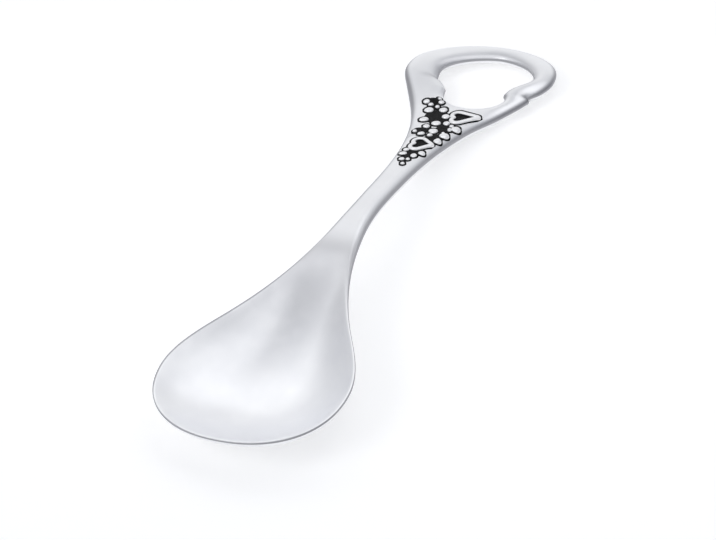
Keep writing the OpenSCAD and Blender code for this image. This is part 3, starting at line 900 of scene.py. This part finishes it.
def bend(points, t):
    """Places on a curve from a start, towards a bend, to an end."""
    a, b, c = points
    t = np.asarray(t, float)[..., None]
    return a * (1 - t)**2 + 2 * b * t * (1 - t) + c * t**2


def back_skin(points):
    """The bowl's underside over places in plan."""
    s = points[..., 0]
    y = np.abs(points[..., 1])
    ahead = np.clip((BOWL_WIDE_AT - s) / BOWL_WIDE_AT, 0, 1)
    share = (ahead**FRONT_POWER + (2 * y / BOWL_W)**FRONT_POWER)**(1 / FRONT_POWER)
    rear = hollow(s, y / curve(SIDE_STATIONS, np.maximum(s, BOWL_WIDE_AT)))
    drop = np.where(s < BOWL_WIDE_AT, 1 - share**HOLLOW_POWER, rear)
    return skins(points, drop, np.ones(drop.shape))[1]


def add_stroke(build, points):
    """A tapered stroke let into the bowl's underside."""
    t = np.linspace(0, 1, STROKE_STEPS + 1)
    middle = bend(points, t)
    ahead = np.gradient(middle, axis=0)
    ahead /= np.linalg.norm(ahead, axis=1, keepdims=True)
    side = np.stack([-ahead[:, 1], ahead[:, 0]], -1)
    half = STROKE_W / 2 * (STROKE_TIP + (1 - STROKE_TIP) * np.sin(math.pi * t))
    body = back_skin(middle[:, None] + side[:, None] * (half[:, None] * STROKE_OFF)[..., None])
    body[..., 2] += STROKE_UP
    build.grid(body, wrap=True)
    for ring in (body[0], body[-1]):
        build.add(ring, [list(range(len(ring)))])


def sprig_mesh():
    """The stem of the sprig, and two sides and a rib for each leaf."""
    build = Builder()
    add_stroke(build, SPRIG_STEM)
    for at, side, long in SPRIG_LEAVES:
        base = bend(SPRIG_STEM, at)
        ahead = bend(SPRIG_STEM, at + LEAF_AHEAD) - base
        way = turned(ahead / np.linalg.norm(ahead), side * LEAF_TURN) * long
        belly = np.array([-way[1], way[0]]) * LEAF_BULGE
        for bulge in (-1, 1):
            add_stroke(build, (base, base + way / 2 + bulge * belly, base + way))
        add_stroke(build, (base, base + way * RIB_SHARE / 2, base + way * RIB_SHARE))
    return build.mesh("bowl_sprig_fine")


# Materials: noise as scale, detail and stretch; roughness limits; grain as strength and depth in metres
SATIN_LOOK = dict(
    inputs={"Metallic": 1.0, "Specular Tint": (0.92, 0.92, 0.93, 1)},
    tone_noise=(160, 4), dark=(0.92, 0.925, 0.94), light=(0.96, 0.965, 0.975),
    rough_noise=(420, 5), rough=(0.36, 0.42),
    grain_noise=(1.0, 2, (700, 5200, 5200)), grain=(0.05, 0.00002),
    # Colour of the painted dark reflection and shade along the edges, in the creases, on the loop's inner
    # half and at the bowl's rear
    shade_and_patina_to=(0.34, 0.34, 0.36, 1))
RELIEF_LOOK = dict(
    inputs={"Metallic": 0.65},
    tone_noise=(900, 3), dark=(0.92, 0.92, 0.93), light=(0.98, 0.98, 0.98),
    rough_noise=(1500, 3), rough=(0.34, 0.46),
    grain_noise=(2200, 3), grain=(0.12, 0.00004),
    # Colour of the black patina round the petals' feet and inside the hearts
    shade_and_patina_to=(0.012, 0.012, 0.014, 1))
PATINA_LOOK = dict(
    inputs={"Specular IOR Level": 0.08},
    tone_noise=(1300, 4), dark=(0.002, 0.002, 0.0022), light=(0.008, 0.008, 0.0085),
    rough_noise=(1700, 3), rough=(0.45, 0.65),
    grain_noise=(2600, 4), grain=(0.3, 0.00008),
    shade_and_patina_to=None)
# Parts of the noise's range that the roughness and the tone are spread over
ROUGH_RANGE = (0.3, 0.7)
TONE_RANGE = (0.35, 0.65)


def new_material(name):
    """A new material, its node tree and its shader."""
    material = bpy.data.materials.new(name)
    material.use_nodes = True
    tree = material.node_tree
    shader = tree.nodes["Principled BSDF"]
    return material, tree, shader


def add_node(tree, kind, **values):
    """A new node, with values for its inputs or settings."""
    node = tree.nodes.new(kind)
    for key, value in values.items():
        if key in node.inputs:
            node.inputs[key].default_value = value
        else:
            setattr(node, key, value)
    return node


def noise(tree, scale, detail, stretch=(1, 1, 1)):
    """Noise over the object, stretched along the axes."""
    place = add_node(tree, "ShaderNodeTexCoord")
    mapping = add_node(tree, "ShaderNodeMapping")
    mapping.inputs["Scale"].default_value = stretch
    texture = add_node(tree, "ShaderNodeTexNoise", Scale=scale, Detail=detail)
    tree.links.new(place.outputs["Object"], mapping.inputs["Vector"])
    tree.links.new(mapping.outputs["Vector"], texture.inputs["Vector"])
    return texture


def spread(tree, source, low, high):
    """The noise, spread between two values."""
    node = add_node(tree, "ShaderNodeMapRange")
    node.inputs["From Min"].default_value = ROUGH_RANGE[0]
    node.inputs["From Max"].default_value = ROUGH_RANGE[1]
    node.inputs["To Min"].default_value = low
    node.inputs["To Max"].default_value = high
    tree.links.new(source.outputs["Fac"], node.inputs["Value"])
    return node


def set_ramp(ramp, places, *colours):
    """Gives the stops of a ramp their places and colours."""
    for element, place, colour in zip(ramp.color_ramp.elements, places, colours):
        element.position = place
        element.color = (*colour, 1)


def two_tone(tree, source, dark, light):
    """The noise, turned into a colour between two others."""
    ramp = add_node(tree, "ShaderNodeValToRGB")
    set_ramp(ramp, TONE_RANGE, dark, light)
    tree.links.new(source.outputs["Fac"], ramp.inputs["Fac"])
    return ramp


def bump(tree, source, strength, depth):
    """The noise, turned into a fine grain."""
    node = add_node(tree, "ShaderNodeBump", Strength=strength, Distance=depth)
    tree.links.new(source.outputs["Fac"], node.inputs["Height"])
    return node


def shade_and_patina_mix(tree, tone, dark):
    """The tone, darkened by the value on each vertex: painted dark reflection and shade on the satin
    metal, black patina on the relief.
    """
    level = add_node(tree, "ShaderNodeAttribute", attribute_name=SHADE_AND_PATINA)
    mix = add_node(tree, "ShaderNodeMix", data_type="RGBA")
    tree.links.new(level.outputs["Fac"], mix.inputs["Factor"])
    tree.links.new(tone.outputs["Color"], mix.inputs["A"])
    mix.inputs["B"].default_value = dark
    return mix


def make_material(name, look):
    """A material with the tone, the darkening for painted shade and patina, roughness and grain of a look.
    """
    material, tree, shader = new_material(name)
    for key, value in look["inputs"].items():
        shader.inputs[key].default_value = value
    tone = two_tone(tree, noise(tree, *look["tone_noise"]), look["dark"], look["light"])
    base = tone.outputs["Color"]
    if look["shade_and_patina_to"]:
        base = shade_and_patina_mix(tree, tone, look["shade_and_patina_to"]).outputs["Result"]
    rough = spread(tree, noise(tree, *look["rough_noise"]), *look["rough"])
    grain = bump(tree, noise(tree, *look["grain_noise"]), *look["grain"])
    tree.links.new(base, shader.inputs["Base Color"])
    tree.links.new(rough.outputs["Result"], shader.inputs["Roughness"])
    tree.links.new(grain.outputs["Normal"], shader.inputs["Normal"])
    return material


SATIN = make_material("satin_metal", SATIN_LOOK)
BRIGHT = make_material("bright_relief", RELIEF_LOOK)
BLACK = make_material("black_patina", PATINA_LOOK)

piece("spoon_blank_fine", blank_mesh(), SATIN, "satin_metal", "spoon_blank")
piece("loop_bar_fine", loop_mesh(), SATIN, "satin_metal", "loop_bar")
piece("bowl_sprig_fine", sprig_mesh(), BLACK, "black_patina")
piece("ornament_bed_fine", bed_mesh(), BLACK, "black_patina", "ornament_bed")
BLOSSOMS = [
    ("large_blossom", LARGE_PETALS, RELIEF_H),
    ("arm_blossom", ARM_PETALS, RELIEF_H),
    ("stem_blossoms", STEM_PETALS, RELIEF_H),
    ("leaf_buds", LEAF_PETALS, RELIEF_H),
    ("tail_petals", TAIL_PETALS, TAIL_H)]
for node, rows, high in BLOSSOMS:
    fine = node + "_fine"
    piece(fine, petals_mesh(fine, rows, high), BRIGHT, "bright_relief", node)
for node, heart in (("upper_heart", UPPER_HEART), ("lower_heart", LOWER_HEART)):
    fine = node + "_fine"
    piece(fine, heart_frame_mesh(fine, heart, RELIEF_H), BRIGHT, "bright_relief", node)


# Camera at the photo's viewing angle: degrees, metres and pixels
VIEW_AZ = -60.0414
VIEW_EL = 36.3072
VIEW_ROLL = -10.5014
VIEW_DIST = 0.5146
VIEW_AT = Vector((0, 0, 0.005))
FOCAL_PX = 2962.0
CENTRE_PX = (11.35, -45.9)
SENSOR_W = 36.0
CLIP_START = 0.01


def make_camera():
    """The camera, turned about its own axis by the roll and shifted in its picture."""
    a = math.radians(VIEW_AZ)
    e = math.radians(VIEW_EL)
    r = math.radians(VIEW_ROLL)
    back = Vector((math.sin(a) * math.cos(e), -math.cos(a) * math.cos(e), math.sin(e)))
    level = Vector((math.cos(a), math.sin(a), 0))
    up = back.cross(level)
    right = level * math.cos(r) + up * math.sin(r)
    top = up * math.cos(r) - level * math.sin(r)
    data = bpy.data.cameras.new("camera")
    data.sensor_width = SENSOR_W
    data.lens = FOCAL_PX / IMAGE_W * SENSOR_W
    data.shift_x = -CENTRE_PX[0] / IMAGE_W
    data.shift_y = CENTRE_PX[1] / IMAGE_W
    data.clip_start = CLIP_START
    camera = bpy.data.objects.new("camera", data)
    turn = Matrix((right, top, back)).transposed()
    camera.matrix_world = Matrix.Translation(VIEW_AT + back * VIEW_DIST) @ turn.to_4x4()
    bpy.context.scene.collection.objects.link(camera)
    bpy.context.scene.camera = camera


make_camera()


# Floor and light
FLOOR_HALF = 3.0
FLOOR_DROP = 0.00002
FLOOR_COLOUR = (0.8, 0.8, 0.8, 1)
FLOOR_ROUGH = 0.9
FLOOR_GLOW = 0.36
WHITE = (1, 1, 1, 1)
# The studio's wall: the way to its middle, the range of its edge and the colours outside and inside it
WALL_WAY = (0.875, 0.446, -0.18)
WALL_EDGE = (0.28, 0.86)
WALL_DARK = (0.45, 0.46, 0.49)
WALL_LIGHT = (0.865, 0.87, 0.885)
WALL_STRENGTH = 1.05
# Soft lights: name, place, target and size in metres, and power in watts
LIGHTS = [
    ("front", (-0.36, -0.03, 0.30), (-0.02, 0, 0), (0.42, 0.2), 0.15),
    ("bowl_panel", (0.03, 0.05, 0.12), (0.03, 0.05, 0), (0.07, 0.30), 0.046),
    ("rear_panel", (-0.0285, -0.085, 0.12), (-0.0285, -0.085, 0), (0.033, 0.15), 0.013),
    ("tip_panel", (0.095, -0.045, 0.12), (0.095, -0.045, 0), (0.06, 0.09), 0.011),
    ("left_key", (-0.30, 0.24, 0.36), (0, 0, 0), (0.25, 0.25), 0.4)]


def floor_material():
    """Pale floor with a glow that only the camera and mirrored or passing rays see."""
    material, tree, shader = new_material("pale_floor")
    shader.inputs["Base Color"].default_value = FLOOR_COLOUR
    shader.inputs["Roughness"].default_value = FLOOR_ROUGH
    shader.inputs["Specular IOR Level"].default_value = 0.0
    path = add_node(tree, "ShaderNodeLightPath")
    seen = add_node(tree, "ShaderNodeMath", operation="MAXIMUM")
    tree.links.new(path.outputs["Is Camera Ray"], seen.inputs[0])
    tree.links.new(path.outputs["Is Glossy Ray"], seen.inputs[1])
    through = add_node(tree, "ShaderNodeMath", operation="MAXIMUM")
    tree.links.new(seen.outputs["Value"], through.inputs[0])
    tree.links.new(path.outputs["Is Transmission Ray"], through.inputs[1])
    glow = add_node(tree, "ShaderNodeMath", operation="MULTIPLY")
    glow.inputs[1].default_value = FLOOR_GLOW
    tree.links.new(through.outputs["Value"], glow.inputs[0])
    shader.inputs["Emission Color"].default_value = WHITE
    tree.links.new(glow.outputs["Value"], shader.inputs["Emission Strength"])
    return material


def make_floor():
    """A wide floor just below the spoon, kept apart from the object."""
    data = bpy.data.meshes.new("floor")
    corners = [(x * FLOOR_HALF, y * FLOOR_HALF, 0) for x, y in ((-1, -1), (1, -1), (1, 1), (-1, 1))]
    data.from_pydata(corners, [], [(0, 1, 2, 3)])
    floor = bpy.data.objects.new("floor", data)
    floor.location.z = cad_box[0][2] - FLOOR_DROP
    bpy.context.scene.collection.objects.link(floor)
    data.materials.append(floor_material())


def make_world():
    """Grey studio with a bright wall behind the spoon."""
    world = bpy.data.worlds.new("studio")
    world.use_nodes = True
    tree = world.node_tree
    back = tree.nodes["Background"]
    place = add_node(tree, "ShaderNodeTexCoord")
    towards = add_node(tree, "ShaderNodeVectorMath", operation="DOT_PRODUCT")
    towards.inputs[1].default_value = WALL_WAY
    ramp = add_node(tree, "ShaderNodeValToRGB")
    ramp.color_ramp.interpolation = "EASE"
    set_ramp(ramp, WALL_EDGE, WALL_DARK, WALL_LIGHT)
    tree.links.new(place.outputs["Generated"], towards.inputs[0])
    tree.links.new(towards.outputs["Value"], ramp.inputs["Fac"])
    tree.links.new(ramp.outputs["Color"], back.inputs["Color"])
    back.inputs["Strength"].default_value = WALL_STRENGTH
    bpy.context.scene.world = world


def area_light(name, place, target, size, power):
    """A rectangle of light that faces its target and isn't seen by the camera."""
    data = bpy.data.lights.new(name, "AREA")
    data.shape = "RECTANGLE"
    data.size = size[0]
    data.size_y = size[1]
    data.energy = power
    light = bpy.data.objects.new(name, data)
    light.location = place
    light.visible_camera = False
    light.rotation_euler = (Vector(target) - Vector(place)).to_track_quat("-Z", "Y").to_euler()
    bpy.context.scene.collection.objects.link(light)


make_floor()
make_world()
for light_row in LIGHTS:
    area_light(*light_row)
bpy.context.scene.view_settings.view_transform = "Standard"
